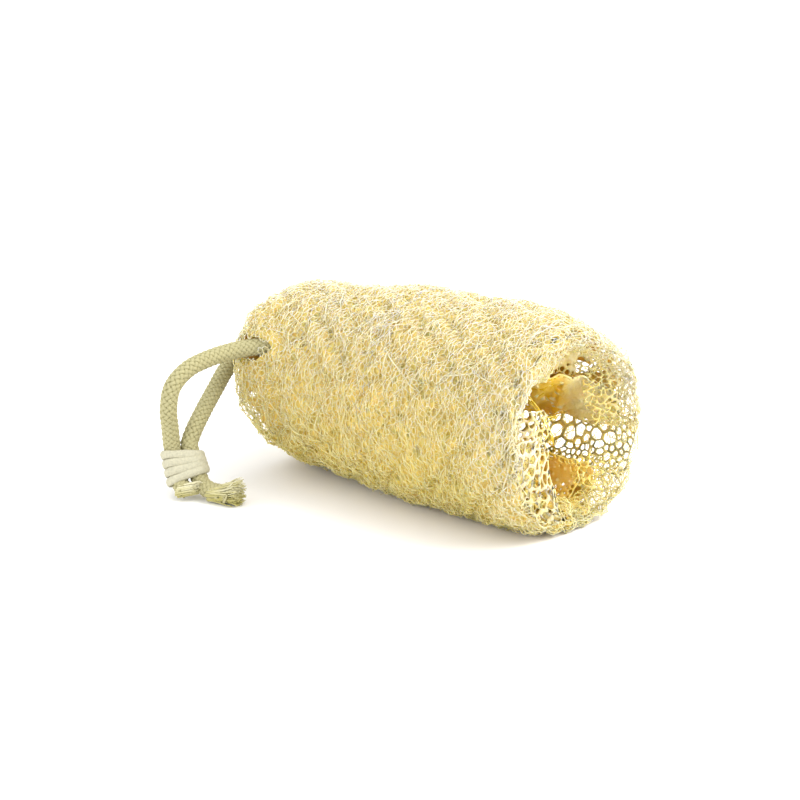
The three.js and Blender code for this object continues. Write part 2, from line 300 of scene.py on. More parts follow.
def seedCells(seeds):  # the cells round a set of seeds: corners, cells and the seed of each
    solved = geometry.delaunay_2d_cdt([Vector(p) for p in seeds], [], [], 0, 1e-6)
    seeds = np.array([tuple(v) for v in solved[0]])
    triangles = np.array([f for f in solved[2] if len(f) == 3])
    corners = seeds[triangles].mean(1)
    owner = triangles.ravel()
    corner = np.repeat(np.arange(len(triangles)), 3)
    away = corners[corner] - seeds[owner]
    order = np.lexsort((np.arctan2(away[:, 1], away[:, 0]), owner))
    ends = np.flatnonzero(np.diff(owner[order])) + 1
    cells = np.split(corner[order], ends)
    owners = owner[order][np.concatenate([[0], ends])]
    return corners, cells, seeds[owners]


def netCells(columns, rows, scatter, random):  # corners and cells of an uneven net, in cell units
    s, t = np.meshgrid(np.arange(columns + 1), np.arange(-1, rows + 1), indexing="ij")
    seeds = np.stack([(s + 0.5 * (t % 2)).ravel(), t.ravel() + 0.5], 1)
    corners, cells, seeds = seedCells(seeds + random.uniform(-scatter, scatter, seeds.shape))
    inside = (seeds[:, 0] > 0.6) & (seeds[:, 0] < columns + 0.3) & (seeds[:, 1] > 0) & (seeds[:, 1] < rows)
    return corners, [c for c, i in zip(cells, inside) if i and len(c) > 2]


def keepUsed(corners, cells):
    used = np.unique(np.concatenate(cells))
    place = np.full(len(corners), -1)
    place[used] = np.arange(len(used))
    return corners[used], [place[c] for c in cells], used


thinnest = 0.25  # share of a strand's thickness where its weight is nothing


def strandPiece(name, corners, cells, strand, weight):  # millimetres in, a net of strands out
    piece = meshPiece(name, corners * mm, cells)
    group = piece.vertex_groups.new(name="strand")
    for i, w in enumerate(weight):
        group.add([i], float(w), "REPLACE")
    applyModifier(piece, "WIREFRAME", thickness=strand * mm, use_even_offset=False, use_boundary=True,
                  use_replace=True, vertex_group="strand", thickness_vertex_group=thinnest)
    shadeSmooth(piece)
    piece.vertex_groups.clear()
    return piece


plainCell, dotCell, openCell = 0, 1, 2
sheet = {"settle": 0.6, "dotRise": 0.35, "ribPale": 0.15}


def borderEdges(cells):
    edges = {}
    for cell in cells:
        for a, b in zip(cell, np.roll(cell, -1)):
            key = (min(a, b), max(a, b))
            edges[key] = edges.get(key, 0) + 1
    return np.array([key for key, count in edges.items() if count == 1])


def evenBorder(corners, border, rounds):  # draws the zigzag border of a sheet out into a softer line
    ends = np.concatenate([border, border[:, ::-1]])
    count = np.bincount(ends[:, 0], minlength=len(corners))
    corners = np.array(corners)
    onBorder = count > 0
    for _ in range(rounds):
        total = np.zeros_like(corners)
        np.add.at(total, ends[:, 0], corners[ends[:, 1]])
        middle = total[onBorder] / count[onBorder, None]
        corners[onBorder] = (1 - sheet["settle"]) * corners[onBorder] + sheet["settle"] * middle
    return corners


# A fused sheet of plain, dotted or holed cells: lacy opens the cells at its border, spot is how pale its
# dots are, ribs lays strands along the cells, roundness rounds the holes. The pale dots are painted glints
# of light through the sheet.
def sheetPiece(name, corners, cells, kinds, shares, thick, lacy=0.0, spot=0.0, ribs=0.0, roundness=0.6):
    border = borderEdges(cells)
    if lacy:
        atBorder = np.zeros(len(corners), bool)
        atBorder[border.ravel()] = True
        edge = np.array([atBorder[c].any() for c in cells])
        kinds = np.where(edge, openCell, kinds)
        shares = np.where(edge, np.maximum(shares, lacy), shares)
    corners = evenBorder(corners, border, 2 if lacy else 3)
    points = list(corners)
    middles = {}
    for cell, kind in zip(cells, kinds):
        for a, b in zip(cell, np.roll(cell, -1)):
            if kind != plainCell and (min(a, b), max(a, b)) not in middles:
                middles[min(a, b), max(a, b)] = len(points)
                points.append((corners[a] + corners[b]) / 2)
    faces = []
    pale = []
    spots = []
    for cell, kind, share in zip(cells, kinds, shares):
        ring = []
        for a, b in zip(cell, np.roll(cell, -1)):
            ring.append(int(a))
            if (min(a, b), max(a, b)) in middles:
                ring.append(middles[min(a, b), max(a, b)])
        if kind == plainCell:
            faces.append(ring)
            continue
        outer = np.array([points[i] for i in ring])
        centre = outer.mean(0)
        away = outer - centre
        far = np.linalg.norm(away, axis=1)
        hole = centre + away * (share * (1 - roundness + roundness * far.mean() / far))[:, None]
        first = len(points)
        points += list(hole)
        count = len(ring)
        onward = [(i + 1) % count for i in range(count)]
        faces += [[ring[i], ring[k], first + k, first + i] for i, k in enumerate(onward)]
        if kind == dotCell:
            normal = np.cross(away, np.roll(away, -1, axis=0)).sum(0)
            tip = len(points)
            points.append(centre + sheet["dotRise"] * normal / np.linalg.norm(normal))
            faces += [[first + i, first + k, tip] for i, k in enumerate(onward)]
            pale.append(tip)
            spots += range(first, tip)
    piece = meshPiece(name, np.array(points) * mm, faces)
    # Painted glints: the dot tips are fully pale, the rings round them take the spot share
    paleness = np.zeros(len(points))
    paleness[spots] = spot
    paleness[pale] = 1
    mark(piece, "pale", paleness)
    applyModifier(piece, "SOLIDIFY", thickness=thick * mm, offset=0.0)
    shadeSmooth(piece)
    if ribs:  # strands along the cell borders, a little paler
        weight = np.random.default_rng(len(corners)).uniform(0, 1, len(corners))
        strands = strandPiece(name + "_ribs", corners, cells, ribs, weight)
        mark(strands, "pale", np.full(len(strands.data.vertices), sheet["ribPale"]))
        clearSelection()
        strands.select_set(True)
        piece.select_set(True)
        bpy.context.view_layer.objects.active = piece
        bpy.ops.object.join()
    return piece


# The depth mark sets the painted golden shade of the fibre tone: more golden below the skin and in from the
# ends
deepest = {"below": 12, "endShare": 0.55}  # millimetres to the deepest tone; less counts from the ends


def markDepth(piece, least=0.0, most=1.0):  # how deep each corner lies below the skin or the ends
    points = cornersOf(piece) / mm
    angle, radius = turnOf(points)
    below = skinRadius(points[:, 0], angle) - radius
    behind = deepest["endShare"] * (skin["endX"] - np.abs(points[:, 0]))
    mark(piece, "deep", np.clip(np.minimum(below, behind) / deepest["below"], least, most))


def wander(random, u, v, waves, reach):  # a slow seeded drift over the net
    total = np.zeros_like(u)
    for _ in range(waves):
        a, b, c = random.uniform(-1, 1, 3)
        total += np.sin(u * a * 5 + v * b * 0.35 + c * 9)
    return reach * total / waves


# golden: the least painted golden shade of each layer
wallNets = [
    {"name": "skin_net", "depth": 0.2, "long": 2.2, "short": 1.5, "strand": 0.48, "rough": 0.35,
     "open": 0.35, "pits": 0.45, "relief": 0.32, "clear": 0.0, "golden": 0.0, "halves": 2},
    {"name": "under_net", "depth": 1.0, "long": 2.7, "short": 1.85, "strand": 0.6, "rough": 0.35,
     "open": 0.9, "pits": 0.3, "relief": 0.3, "clear": 1.5, "golden": 0.14, "halves": 1},
]
# golden: the least painted golden shade of each sheet
wallSheets = [
    {"name": "film_sheet", "depth": 1.9, "long": 3.0, "short": 2.3, "thick": 0.5, "rough": 0.3,
     "relief": 0.4, "open": 1.5, "dots": 0.0, "holes": 0.0, "from": -70, "share": 0.55, "golden": 0.45,
     "clear": 3.0},
    {"name": "lining_sheet", "depth": 5.5, "long": 2.6, "short": 2.3, "thick": 0.6, "rough": 0.5,
     "relief": 0.3, "open": 2.0, "dots": 0.35, "holes": 0.05, "from": 14, "share": 0.5, "golden": 0.0,
     "clear": 3.0},
]
wall = {
    "lap": 1.8, "jitter": 0.46, "reliefRange": (-1.5, 4), "pits": (1.4, 3.2), "lipStart": 0.005,
    "nearLip": (228, 26, 44), "ragged": 1.6, "torn": (0.3, 0.32), "tornFrom": (8, 24), "glint": (0.42, 0.3),
    "innerDepth": 1.5, "farSide": 75, "netClear": 3.3, "sheetClear": 4.3,
}
reliefWaves = np.random.default_rng(5).normal(0, 0.62, (9, 3))
reliefStarts = np.random.default_rng(6).uniform(0, 6.3, 9)


def reliefAt(points):  # soft dips and rises, a few millimetres across
    return np.sin(points @ reliefWaves.T + reliefStarts).sum(-1)


def wallGrid(values, random):  # an uneven net over the wall: corners, cells, middles and missing cells
    columns = round(2 * math.pi * skin["meanRadius"] / values["long"])
    rows = round(outlineLength / values["short"])
    corners, cells = netCells(columns, rows, wall["jitter"], random)
    lap = 1 + wall["lap"] / columns  # it laps over at the bottom
    u = 2 * math.pi * lap * corners[:, 0] / columns - math.pi / 2
    v = corners[:, 1] / rows * outlineLength
    angle = u + wander(random, u, v, 4, 0.06)
    share = np.clip((v + wander(random, u, v, 5, 2.2)) / outlineLength, 0, 1)
    depth = values["depth"] + random.normal(0, 1, len(u)) * values["rough"]
    depth += values["relief"] * np.clip(reliefAt(skinPoint(share, angle, 0)), *wall["reliefRange"])
    points = skinPoint(share, angle, depth)
    middles = np.array([points[c].mean(0) for c in cells])
    turn = turnOf(middles)[0]
    onLip = np.array([share[c].mean() for c in cells]) > lipFrom + wall["lipStart"]
    at, flat, fade = wall["nearLip"]
    bigCells = onLip * flatSpot(angleOff(turn, at), flat, fade)  # left to the open net of the near lip
    ragged = random.normal(0, wall["ragged"], len(cells))
    thin = inBand(middles[:, 0] + ragged, turn + np.radians(ragged), values["clear"])
    torn = wall["torn"][0] + wall["torn"][1] * smoothStep(*wall["tornFrom"], middles[:, 0])
    thin &= random.uniform(0, 1, len(cells)) < torn + values["clear"]
    lit = random.uniform(0, 1, len(cells)) < wall["glint"][0] + wall["glint"][1] * values["clear"]
    thin |= inGlint(middles[:, 0] + ragged, turn) & lit
    if values["depth"] > wall["innerDepth"]:  # the inner sheets stay out of the way of the light
        thin |= inGlint(*wallBehind(middles)) & (angleOff(turn, 0) < wall["farSide"])
        atCord = nearCord(middles, wall["sheetClear"])
    else:
        atEntry = ((points - cordEntry["place"]) ** 2).sum(1) < cordEntry["clear"] ** 2
        byCord = nearCord(points, wall["netClear"]) | atEntry
        atCord = np.array([byCord[c].any() for c in cells])
    missing = random.uniform(0, 1, len(cells)) < openness(middles) * values["open"] + bigCells
    return points, cells, middles, missing | thin | atCord


def wallNet(values, seed):
    random = np.random.default_rng(seed)
    points, cells, middles, gone = wallGrid(values, random)
    pits = smoothStep(*wall["pits"], reliefAt(middles)) * values["pits"]
    gone |= random.uniform(0, 1, len(cells)) < pits
    weight = random.uniform(0.35, 0.95, len(points))
    pieces = []
    for part in range(values["halves"]):
        place = middles[:, 0] / (2 * skin["endX"]) + 0.5
        mine = np.clip((place * values["halves"]).astype(int), 0, values["halves"] - 1) == part
        kept, keptCells, used = keepUsed(points, [c for c, g, m in zip(cells, gone, mine) if m and not g])
        name = values["name"] if values["halves"] == 1 else values["name"] + "_" + "ab"[part]
        piece = strandPiece(name, kept, keptCells, values["strand"], weight[used])
        markDepth(piece, values["golden"])
        pieces.append(piece)
    return pieces


def pickKinds(random, count, dots, holes):
    draw = random.uniform(0, 1, count)
    return np.where(draw < holes, openCell, np.where(draw < holes + dots, dotCell, plainCell))


def wallSheet(values, seed):
    random = np.random.default_rng(seed)
    points, cells, middles, gone = wallGrid(values, random)
    kinds = pickKinds(random, len(cells), values["dots"], values["holes"])
    keep = ~gone & (middles[:, 0] > values["from"])
    kept, keptCells, _ = keepUsed(points, [c for c, k in zip(cells, keep) if k])
    shares = values["share"] * random.uniform(0.6, 1.2, len(keptCells))
    piece = sheetPiece(values["name"], kept, keptCells, kinds[keep], shares, values["thick"])
    markDepth(piece, values["golden"])
    return piece


spongePieces = []
for i, values in enumerate(wallNets):
    spongePieces += wallNet(values, 11 + i)
spongePieces += [wallSheet(values, 21 + i) for i, values in enumerate(wallSheets)]
print("wall nets:", [(p.name, 2 * len(p.data.polygons)) for p in spongePieces])


# Seed chambers: three tunnels lined with a sheet of fused fibres, finer near the mouth
chambers = {
    "turns": (0.03, 1 / 3, 0.765), "centre": (16.5, 16.5, 17.5), "across": 11.0, "deep": (9.5, 9.5, 11.5),
    # golden: the most painted golden shade in each chamber
    "thick": 0.6, "golden": (1.0, 1.0, 0.45), "girth": 68, "lap": 1.6, "jitter": 0.42, "share": (0.3, 0.6),
    "lacy": 0.72, "cordClear": 3.4, "mouthX": 55, "litFrom": 25,
    "archSide": {"angle": 50, "reach": 75, "inside": 17, "from": 18},  # the arch sheet runs on in its place
    "parts": [
        {"from": 16.0, "to": 54.0, "cell": 2.1, "dots": 0.3, "holes": 0.1, "ribs": 0.0},
        {"from": -60.0, "to": 16.0, "cell": 3.6, "dots": 0.0, "holes": 0.03, "ribs": 0.8},
    ],
}
pocket = {"angle": 68, "flat": 20, "fade": 36, "from": 12.0, "deep": 11.0}  # the hollow above the arch


def inPocket(points):
    angle, radius = turnOf(points)
    return flatSpot(angleOff(angle, pocket["angle"]), pocket["flat"], pocket["fade"]) * smoothStep(
        pocket["from"], pocket["from"] + 3, radius)


def chamberFrame(turns, x):  # centre direction, sideways direction and swelling
    angle = 2 * math.pi * turns
    swell = 1 + 0.05 * np.sin(0.09 * x + 9 * turns)
    return np.array([math.cos(angle), math.sin(angle)]), np.array([-math.sin(angle), math.cos(angle)]), swell


def chamberSheet(number, turns, part, values):
    random = np.random.default_rng(31 + 3 * number + part)
    long = values["to"] - values["from"]
    columns = round(chambers["girth"] / values["cell"])
    rows = round(long / values["cell"])
    corners, cells = netCells(columns, rows, chambers["jitter"], random)
    turn = 2 * math.pi * (1 + chambers["lap"] / columns) * corners[:, 0] / columns
    x = values["from"] + corners[:, 1] / rows * long
    x = x + wander(random, turn, x, 4, 1.5)
    out, side, swell = chamberFrame(turns, x)
    grow = swell + wander(random, turn * 2, x, 4, 0.05) + random.normal(0, 0.02, len(x))
    radial = chambers["centre"][number] + chambers["deep"][number] * grow * np.cos(turn)
    across = chambers["across"] * grow * np.sin(turn)
    y = radial * out[0] + across * side[0]
    z = skin["axisHeight"] + radial * out[1] + across * side[1]
    points = np.stack([x, y, z], 1)
    middles = np.array([points[c].mean(0) for c in cells])
    gone = (inPocket(middles) > 0.5) & (middles[:, 0] > chambers["mouthX"] - pocket["deep"])
    gone |= inHollow(middles) | nearCord(middles, chambers["cordClear"])
    if number == 1:
        side = chambers["archSide"]
        turn, radius = turnOf(middles)
        inside = (angleOff(turn, side["angle"]) < side["reach"]) & (radius < side["inside"])
        gone |= inside & (middles[:, 0] > side["from"])
    kinds = pickKinds(random, len(cells), values["dots"], values["holes"])
    lit = inGlint(*wallBehind(middles)) & (middles[:, 0] > chambers["litFrom"])
    kinds = np.where(lit, openCell, kinds)[~gone]
    points, cells, _ = keepUsed(points, [c[::-1] for c, g in zip(cells, gone) if not g])
    shares = random.uniform(*chambers["share"], len(cells))
    name = "chamber_" + "abc"[number] + "_" + ("front", "back")[part]
    piece = sheetPiece(name, points, cells, kinds, shares, chambers["thick"], chambers["lacy"],
                       ribs=values["ribs"])
    markDepth(piece, most=chambers["golden"][number])
    return piece


def inChamber(y, z, x, reach):
    hit = np.zeros(len(y), bool)
    for turns, centre, deep in zip(chambers["turns"], chambers["centre"], chambers["deep"]):
        out, side, swell = chamberFrame(turns, x)
        radial = y * out[0] + z * out[1] - centre
        across = y * side[0] + z * side[1]
        hit |= (radial / (deep * swell)) ** 2 + (across / (chambers["across"] * swell)) ** 2 < reach
    return hit


for number, turns in enumerate(chambers["turns"]):
    for i, values in enumerate(chambers["parts"]):
        if number or i:  # the front of the first one is taken up by the hollow behind the arch
            spongePieces.append(chamberSheet(number, turns, i, values))
print("chambers lined")


# Ends: the cut mat between the rim and the chambers
bowls = [
    {"name": "mouth_sheet", "rimX": 56.0, "inward": -1, "radius": 28.0, "depth": 5.0, "cell": 2.1},
    {"name": "foot_sheet", "rimX": -62.0, "inward": 1, "radius": 24.0, "depth": 4.0, "cell": 2.3},
]
bowl = {
    "profile": [(0, 1), (0.45, 0.93), (0.78, 0.62), (0.95, 0.25), (1, 0)],  # radius share, depth share
    "jitter": 0.45, "rough": 0.5, "reach": 0.985, "chamber": 0.95, "torn": 0.5, "cordClear": 3.6,
    "openSide": (10, 98),  # the far side of the mouth: angle and reach
    "dots": 0.3, "holes": 0.35, "share": (0.35, 0.7), "thick": 0.6, "lacy": 0.7, "ribs": 0.8,
}


def bowlSheet(values, seed):
    random = np.random.default_rng(seed)
    count = round(2 * values["radius"] / values["cell"]) + 3
    corners, cells = netCells(count, count, bowl["jitter"], random)
    y = (corners[:, 0] - count / 2) * values["cell"]
    z = (corners[:, 1] - count / 2) * values["cell"]
    r = np.hypot(y, z)
    down = np.interp(r / values["radius"], *zip(*bowl["profile"])) * values["depth"]
    x = values["rimX"] + values["inward"] * (down + random.normal(0, bowl["rough"], len(r)))
    points = np.stack([x, y, z + skin["axisHeight"]], 1)
    atMouth = values["inward"] < 0
    if atMouth:
        points[:, 0] -= pocket["deep"] * inPocket(points)
    middles = np.array([points[c].mean(0) for c in cells])
    height = middles[:, 2] - skin["axisHeight"]
    farOut = np.hypot(middles[:, 1], height) > values["radius"] * bowl["reach"]
    hole = inChamber(middles[:, 1], height, middles[:, 0], bowl["chamber"])
    thin = random.uniform(0, 1, len(cells)) < bowl["torn"] * openness(middles)
    thin |= inHollow(middles) | nearCord(middles, bowl["cordClear"])
    if atMouth:
        thin |= angleOff(turnOf(middles)[0], bowl["openSide"][0]) < bowl["openSide"][1]
    keep = ~(farOut | hole | thin)
    kinds = pickKinds(random, len(cells), bowl["dots"], bowl["holes"])[keep]
    points, cells, _ = keepUsed(points, [c for c, k in zip(cells, keep) if k])
    shares = random.uniform(*bowl["share"], len(cells))
    piece = sheetPiece(values["name"], points, cells, kinds, shares, bowl["thick"], bowl["lacy"],
                       ribs=bowl["ribs"])
    markDepth(piece)
    return piece


webs = [
    {"name": "low_web", "angles": (-62, -36), "inner": (22, 20, 20, 22), "outer": 33.0,
     "x": (50.0, 55.0, 61.5), "dip": 0.0, "cell": 2.1, "share": (0.6, 0.92), "thick": 0.4, "rough": 1.1},
    {"name": "near_lip", "angles": (174, 252), "inner": (15, 11.5, 15, 25), "outer": 31.0,
     "x": (61.0, 63.0, 62.3), "dip": 0.5, "cell": 4.1, "share": (0.66, 0.92), "thick": 0.6, "rough": 0.4},
    {"name": "rim_web", "angles": (-12, 46), "inner": (20, 16, 17, 21), "outer": 34.0,
     "x": (52.0, 56.5, 61.0), "dip": 0.0, "cell": 2.2, "share": (0.62, 0.9), "thick": 0.4, "rough": 0.8},
]


def webPiece(values, seed):  # a sheet or net of fused strands left standing in the mouth
    random = np.random.default_rng(seed)
    a0, a1 = (math.radians(a) for a in values["angles"])
    r1 = values["outer"]
    middle = sum(values["inner"]) / 4
    columns = round((r1 - middle) / values["cell"]) + 2
    rows = round((a1 - a0) * (middle + r1) / 2 / values["cell"])
    corners, cells = netCells(columns, rows, 0.45, random)
    out = corners[:, 0] / columns
    up = corners[:, 1] / rows
    r0 = np.interp(up, (0, 0.35, 0.7, 1), values["inner"])
    radius = r0 + out * (r1 - r0)
    angle = a0 + up * (a1 - a0) + random.normal(0, 0.01, len(up))
    x = np.interp(out, (0, 0.5, 1), values["x"]) - values["dip"] * np.sin(math.pi * np.clip(up, 0, 1))
    x = x + random.normal(0, values["rough"], len(x))
    points = np.stack([x, radius * np.cos(angle), skin["axisHeight"] + radius * np.sin(angle)], 1)
    points, cells, _ = keepUsed(points, cells)
    shares = random.uniform(*values["share"], len(cells))
    kinds = [openCell] * len(cells)
    piece = sheetPiece(values["name"], points, cells, kinds, shares, values["thick"], lacy=0.8)
    markDepth(piece)
    return piece


# deep: the painted golden shade from one side of each sheet to the other
shelves = [
    {"name": "pocket_sheet", "x": (47.0, 47.0, 53.0), "cell": 2.0, "dots": 0.5, "holes": 0.05,
     "share": (0.3, 0.6), "thick": 0.6, "deep": (0.6, 0.35, 0.15),
     "border": [(-8, 15), (-7, 24), (2, 28), (14, 26), (24, 19), (27, 13), (20, 12), (9, 15), (-2, 17)]},
    {"name": "fringe_sheet", "x": (55.0, 57.0, 57.5), "cell": 2.3, "dots": 0.0, "holes": 0.95,
     "share": (0.6, 0.88), "thick": 0.6, "deep": (0.1, 0.15, 0.3),
     "border": [(-23, 8), (-17, 10), (-11, 8), (-8, 3), (-9, -2), (-14, -4), (-22, 0)]},
]
arch = {
    "front": [(50, -11, 13), (53, -4, 17.5), (54.5, 9, 15.5), (55, 19, 11), (57.5, 29, 6)],
    "back": [(13, 30, -7.5), (23, 33, -9.5), (32, 33.3, -8.5), (42, 33.5, -8.5), (55, 33.8, -8)],
    "long": 34, "cell": 2.4, "dots": 0.2, "holes": 0.05, "share": (0.16, 0.38), "thick": 0.5, "sag": 2.0,
    "ragged": 0.07, "rough": 0.35, "lacy": 0.5, "spot": 0.8,
    "edge": (50, -11), "across": (0.793, 0.609),  # the left edge and the way across from it
    # Across the arch from its left edge: deep is painted golden shade, strongest in the recess at the left;
    # pale is painted light on the right part, and upperPale keeps the painted shade off its lit upper edge
    "deep": [(0, 1.0), (9, 1.0), (15, 0.45), (30, 0.15)],
    "pale": [(0, 0.0), (11, 0.0), (18, 0.6), (30, 0.8)],
    "upper": (13, 16.5), "upperPale": 0.6,
}


def archPiece():  # the golden sheet from the arch in the mouth back to the thin far wall
    random = np.random.default_rng(65)
    steps = 60
    front = evenLine(smoothLine(arch["front"], 8), steps)
    back = evenLine(smoothLine(arch["back"], 8), steps)
    columns = round(lineLength(front) / arch["cell"])
    rows = round(arch["long"] / arch["cell"])
    corners, cells = netCells(columns, rows, 0.45, random)
    along = np.clip(corners[:, 0] / columns, 0, 1)
    inward = np.clip(corners[:, 1] / rows, 0, 1)[:, None]
    at = np.linspace(0, 1, steps)
    near = np.stack([np.interp(along, at, front[:, k]) for k in range(3)], 1)
    far = np.stack([np.interp(along, at, back[:, k]) for k in range(3)], 1)
    drift = 1 + wander(random, along[:, None] * 14, 0 * inward, 5, 1.0)
    inward = inward + (1 - inward) * arch["ragged"] * drift
    points = near * (1 - inward) + far * inward
    waves = wander(random, along * 6, inward[:, 0] * 30, 5, 1.6)
    points[:, 2] += arch["sag"] * np.sin(math.pi * inward[:, 0]) + waves
    points = points + random.normal(0, arch["rough"], points.shape) + (0, 0, skin["axisHeight"])
    points, cells, _ = keepUsed(points, [c[::-1] for c in cells])
    kinds = pickKinds(random, len(cells), arch["dots"], arch["holes"])
    shares = random.uniform(*arch["share"], len(cells))
    piece = sheetPiece("arch_sheet", points, cells, kinds, shares, arch["thick"], arch["lacy"], arch["spot"])
    # Painted golden shade and painted light across the arch, by distance from its left edge and by height
    places = cornersOf(piece) / mm
    fromEdge = sum((places[:, k] - arch["edge"][k]) * arch["across"][k] for k in range(2))
    upper = smoothStep(*arch["upper"], places[:, 2] - skin["axisHeight"])  # its upper edge is paler
    mark(piece, "deep", np.interp(fromEdge, *zip(*arch["deep"])) * (1 - arch["upperPale"] * upper))
    pale = np.zeros(len(places), np.float32)
    piece.data.attributes["pale"].data.foreach_get("value", pale)
    mark(piece, "pale", np.maximum(pale, np.interp(fromEdge, *zip(*arch["pale"]))))
    return piece


def insideBorder(y, z, border):
    inside = np.zeros(len(y), bool)
    for (y0, z0), (y1, z1) in zip(border, border[1:] + border[:1]):
        crosses = (z0 > z) != (z1 > z)
        inside ^= crosses & (y < y0 + (z - z0) * (y1 - y0) / (z1 - z0 + 1e-9))
    return inside


def shelfPiece(values, seed):  # sheets that stand across the mouth
    random = np.random.default_rng(seed)
    border = np.array(values["border"])
    low = border.min(0)
    wide, tall = border.max(0) - low
    columns = round(wide / values["cell"]) + 1
    rows = round(tall / values["cell"]) + 1
    corners, cells = netCells(columns, rows, 0.45, random)
    y = low[0] + (corners[:, 0] - 0.5) * values["cell"]
    z = low[1] + (corners[:, 1] - 0.5) * values["cell"]
    x = np.interp((y - low[0]) / wide, (0, 0.5, 1), values["x"])
    x = x + random.normal(0, 0.3, len(x)) + wander(random, y / 5, z, 4, 1.2)
    points = np.stack([x, y, z + skin["axisHeight"]], 1)
    middles = np.array([points[c].mean(0) for c in cells])
    keep = insideBorder(middles[:, 1], middles[:, 2] - skin["axisHeight"], values["border"])
    lit = inGlint(*wallBehind(middles))[keep]
    points, cells, _ = keepUsed(points, [c for c, k in zip(cells, keep) if k])
    kinds = np.where(lit, openCell, pickKinds(random, len(cells), values["dots"], values["holes"]))
    shares = np.where(lit, 0.9, random.uniform(*values["share"], len(cells)))
    piece = sheetPiece(values["name"], points, cells, kinds, shares, values["thick"], lacy=0.75)
    along = (cornersOf(piece)[:, 1] / mm - low[0]) / wide
    mark(piece, "deep", np.interp(along, (0, 0.5, 1), values["deep"]))
    return piece


lightSheet = {
    "name": "light_sheet", "x": (5.0, 62.0), "angles": (-40, -5), "depth": 1.2, "thick": 0.45, "rough": 0.25,
    # deep and pale: a light painted golden shade, and painted light shining through the thin wall
    "ribs": 0.6, "deep": 0.3, "pale": 0.4, "spacing": 1.75, "share": 0.74, "roundness": 0.25, "tries": 5000,
    "margin": 1.5, "half": 0.46, "vary": (0.78, 1.06),
    # larger holes: x, angle, reach along, reach round in degrees, spacing, open share
    "spots": [(31, -22, 10, 9, 3.3, 0.9), (48, -19, 5, 7, 3.0, 0.88), (15, -22, 9, 14, 2.3, 0.82)],
}


def lightSheetPiece():  # the thin far wall: large long holes in the middle, small round ones below
    random = np.random.default_rng(66)
    a0, a1 = (math.radians(a) for a in lightSheet["angles"])
    x0, x1 = lightSheet["x"]
    wide = (a1 - a0) * skin["meanRadius"]
    seeds = []
    spacings = []
    for place in random.uniform((x0, 0), (x1, wide), (lightSheet["tries"], 2)):
        angle = math.degrees(a0 + place[1] / skin["meanRadius"])
        near = [spacing for x, a, long, turn, spacing, _ in lightSheet["spots"]
                if ((place[0] - x) / long) ** 2 + ((angle - a) / turn) ** 2 < 1]
        spacing = max(near + [lightSheet["spacing"]])
        stretch = np.array([1, 0.6 if spacing > 3 else 0.85])
        if all(np.linalg.norm((place - other) * stretch) > spacing for other in seeds):
            seeds.append(place)
            spacings.append(spacing)
    corners, cells, middles = seedCells(np.array(seeds))
    inside = (middles[:, 0] > x0 + lightSheet["margin"]) & (middles[:, 0] < x1 - lightSheet["margin"])
    inside &= np.abs(middles[:, 1] / wide - 0.5) < lightSheet["half"]
    cells = [c for c, i in zip(cells, inside) if i and len(c) > 2]
    shareOf = {spacing: share for *_, spacing, share in lightSheet["spots"]}
    shares = []
    for cell in cells:
        middle = corners[cell].mean(0)
        nearest = int(np.argmin(np.linalg.norm(np.array(seeds) - middle, axis=1)))
        share = shareOf.get(spacings[nearest], lightSheet["share"])
        shares.append(share * random.uniform(*lightSheet["vary"]))
    angle = a0 + corners[:, 1] / skin["meanRadius"]
    rough = random.normal(0, lightSheet["rough"], len(angle))
    radius = skinRadius(corners[:, 0], angle) - lightSheet["depth"] + rough
    height = skin["axisHeight"] + radius * np.sin(angle)
    points = np.stack([corners[:, 0], radius * np.cos(angle), height], 1)
    points, cells, _ = keepUsed(points, [c[::-1] for c in cells])
    kinds = [openCell] * len(cells)
    piece = sheetPiece(lightSheet["name"], points, cells, kinds, shares, lightSheet["thick"],
                       ribs=lightSheet["ribs"], roundness=lightSheet["roundness"])
    # Painted light: the thin wall keeps little golden shade and is paled all over, as if lit through
    markDepth(piece, lightSheet["deep"])
    mark(piece, "pale", np.full(len(piece.data.vertices), lightSheet["pale"]))
    return piece


spongePieces += [bowlSheet(values, 51 + i) for i, values in enumerate(bowls)]
spongePieces += [webPiece(values, 61 + i) for i, values in enumerate(webs)] + [lightSheetPiece()]
spongePieces += [shelfPiece(values, 67 + i) for i, values in enumerate(shelves)] + [archPiece()]
print("ends lined")


# Tubes along lines, for loose fibres, braid strands and frayed ends

def tubeMesh(lines, outs, halfWide, halfThick, sides):  # lines and outs are (count, steps, 3)
    count, steps, _ = lines.shape
    run = np.gradient(lines, axis=1)
    run /= np.linalg.norm(run, axis=2, keepdims=True)
    side = np.cross(run, outs)
    side /= np.linalg.norm(side, axis=2, keepdims=True)
    top = np.cross(side, run)
    turn = 2 * math.pi * np.arange(sides) / sides
    wide = np.asarray(halfWide)[..., None, None] * np.cos(turn)[:, None]
    thick = np.asarray(halfThick)[..., None, None] * np.sin(turn)[:, None]
    ring = lines[:, :, None] + wide * side[:, :, None] + thick * top[:, :, None]
    number = np.arange(count * steps * sides).reshape(count, steps, sides)
    after = np.roll(number, -1, axis=2)
    walls = np.stack([number[:, :-1], after[:, :-1], after[:, 1:], number[:, 1:]], -1).reshape(-1, 4)
    caps = np.concatenate([number[:, 0, ::-1], number[:, -1]])
    return ring.reshape(-1, 3), walls.tolist() + caps.tolist()


def tubePiece(name, lines, outs, halfWide, halfThick, sides):
    corners, faces = tubeMesh(lines, outs, halfWide, halfThick, sides)
    piece = meshPiece(name, corners * mm, faces)
    shadeSmooth(piece)
    return piece


